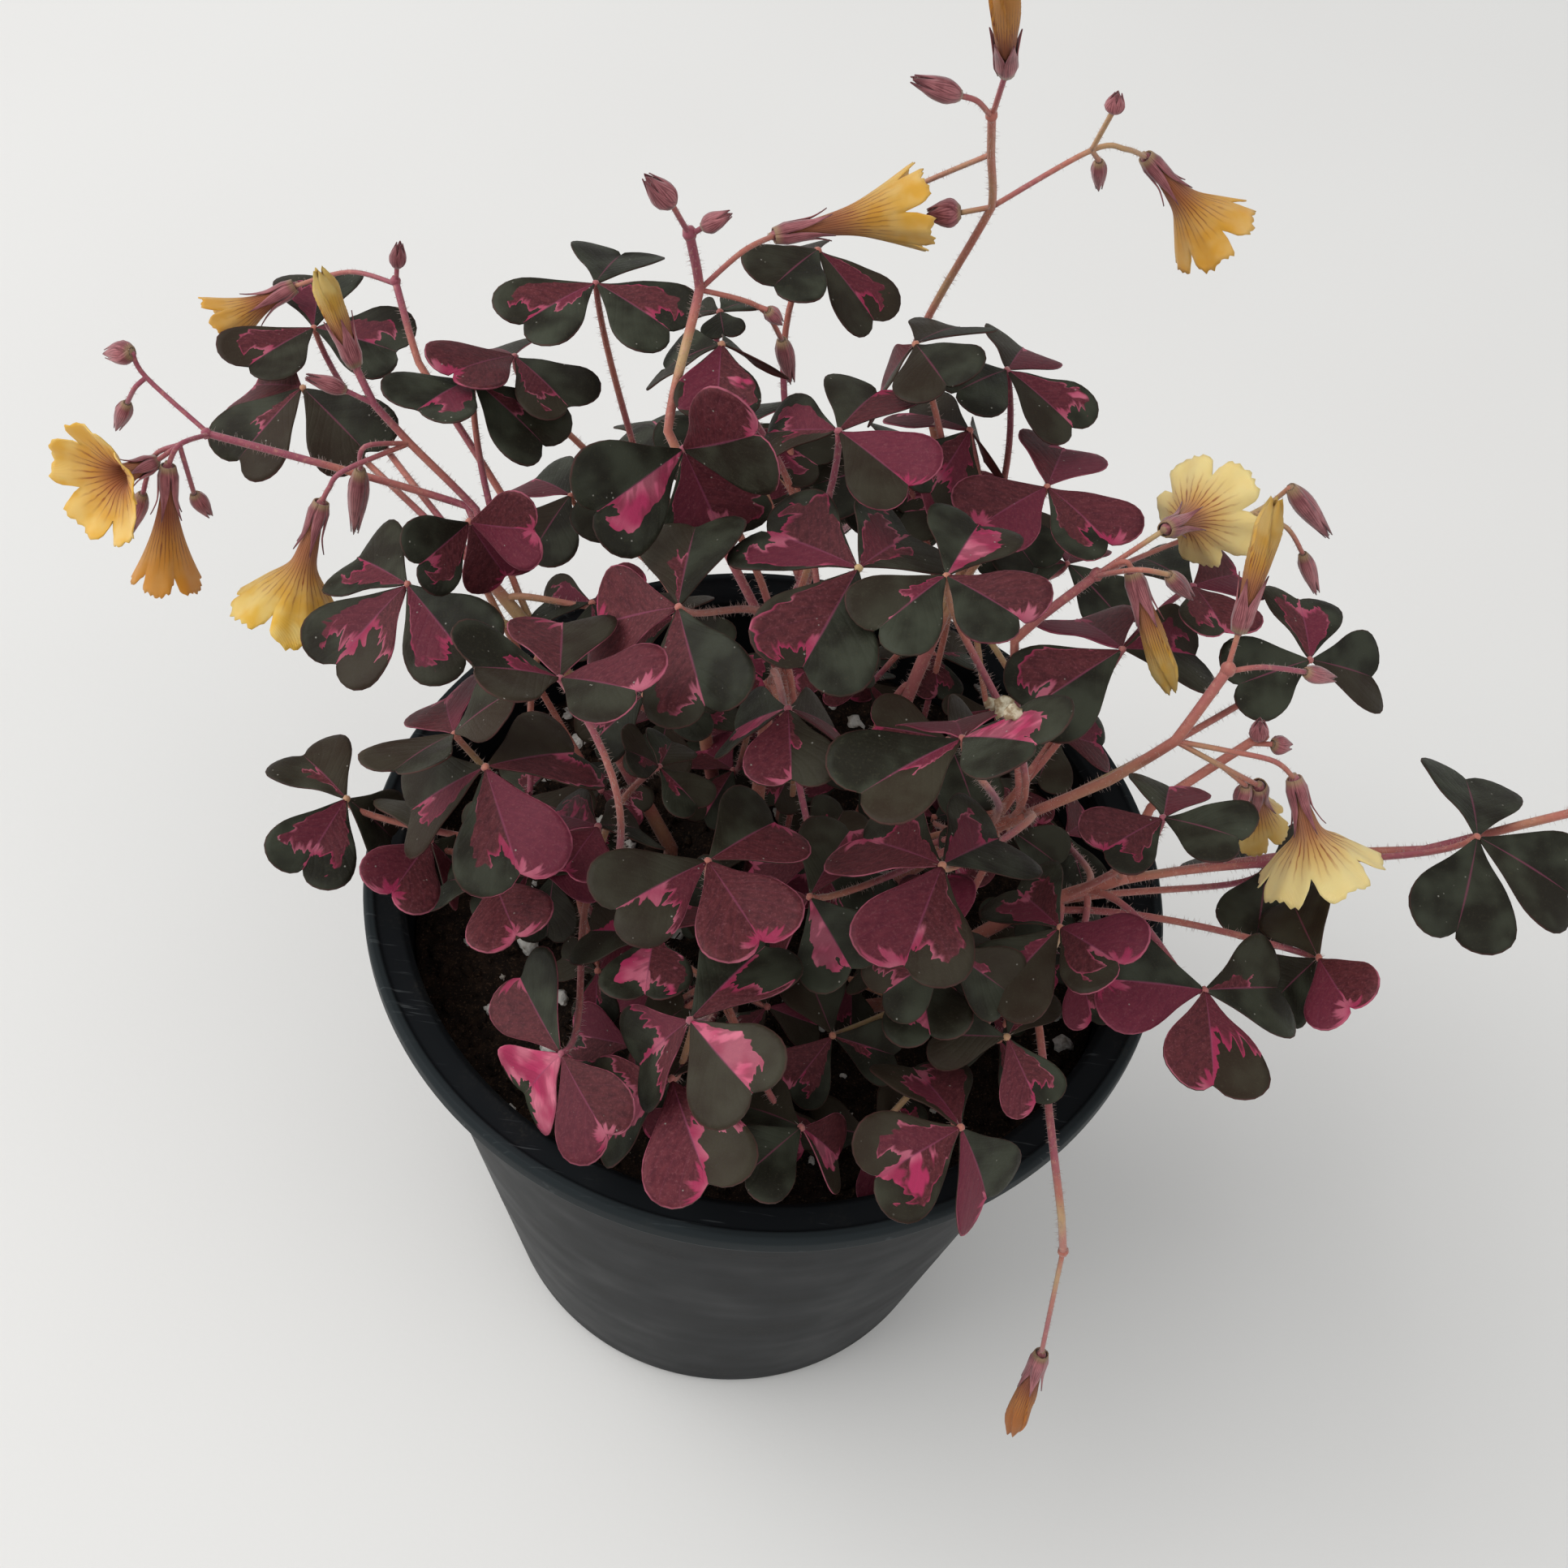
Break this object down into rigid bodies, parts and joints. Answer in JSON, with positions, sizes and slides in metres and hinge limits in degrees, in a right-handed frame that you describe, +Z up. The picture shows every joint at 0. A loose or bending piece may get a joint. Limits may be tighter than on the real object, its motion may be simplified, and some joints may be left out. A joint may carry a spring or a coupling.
{
  "type": "potted volcanic sorrel",
  "caption": "Round tapered nursery pot of soil with a leafy sorrel: dark three-part leaves on thin stalks and funnel-shaped flowers, one stalk hanging over the rim.",
  "frame": {"origin": "middle of the pot's flat underside, on the surface that it stands on", "axes": "+Z up along the pot's axis, +Y away from the side that the picture looks from, +X to that view's right"},
  "size_m": [0.2408, 0.1637, 0.2498],
  "materials": {
    "pot": "semi-gloss black moulded polypropylene",
    "soil": "moist peat with perlite",
    "foliage": "matt dark leaf, grey-green with plum patches",
    "petal": "thin satin yellow petal"
  },
  "bodies": {
    "root": {"pot": "pot", "soil": "soil", "leafy_stem_left": "foliage", "leafy_stem_back_left": "foliage", "leafy_stem_back": "foliage", "leafy_stem_middle": "foliage", "leafy_stem_back_right": "foliage", "leafy_stem_right": "foliage", "leafy_stem_far_right": "foliage", "leafy_stem_front_right": "foliage", "leafy_stem_front": "foliage", "leafy_stem_front_left": "foliage", "corolla_top": "petal", "corolla_back_right": "petal", "corolla_back": "petal", "corolla_rolled_left": "petal", "corolla_left": "petal", "corolla_behind_left": "petal", "corolla_far_left": "petal", "corolla_far_left_low": "petal", "corolla_right_high": "petal", "corolla_rolled_right": "petal", "corolla_rolled_right_low": "petal", "corolla_right": "petal", "corolla_behind_right": "petal", "corolla_hanging": "petal"}
  },
  "joints": []
}
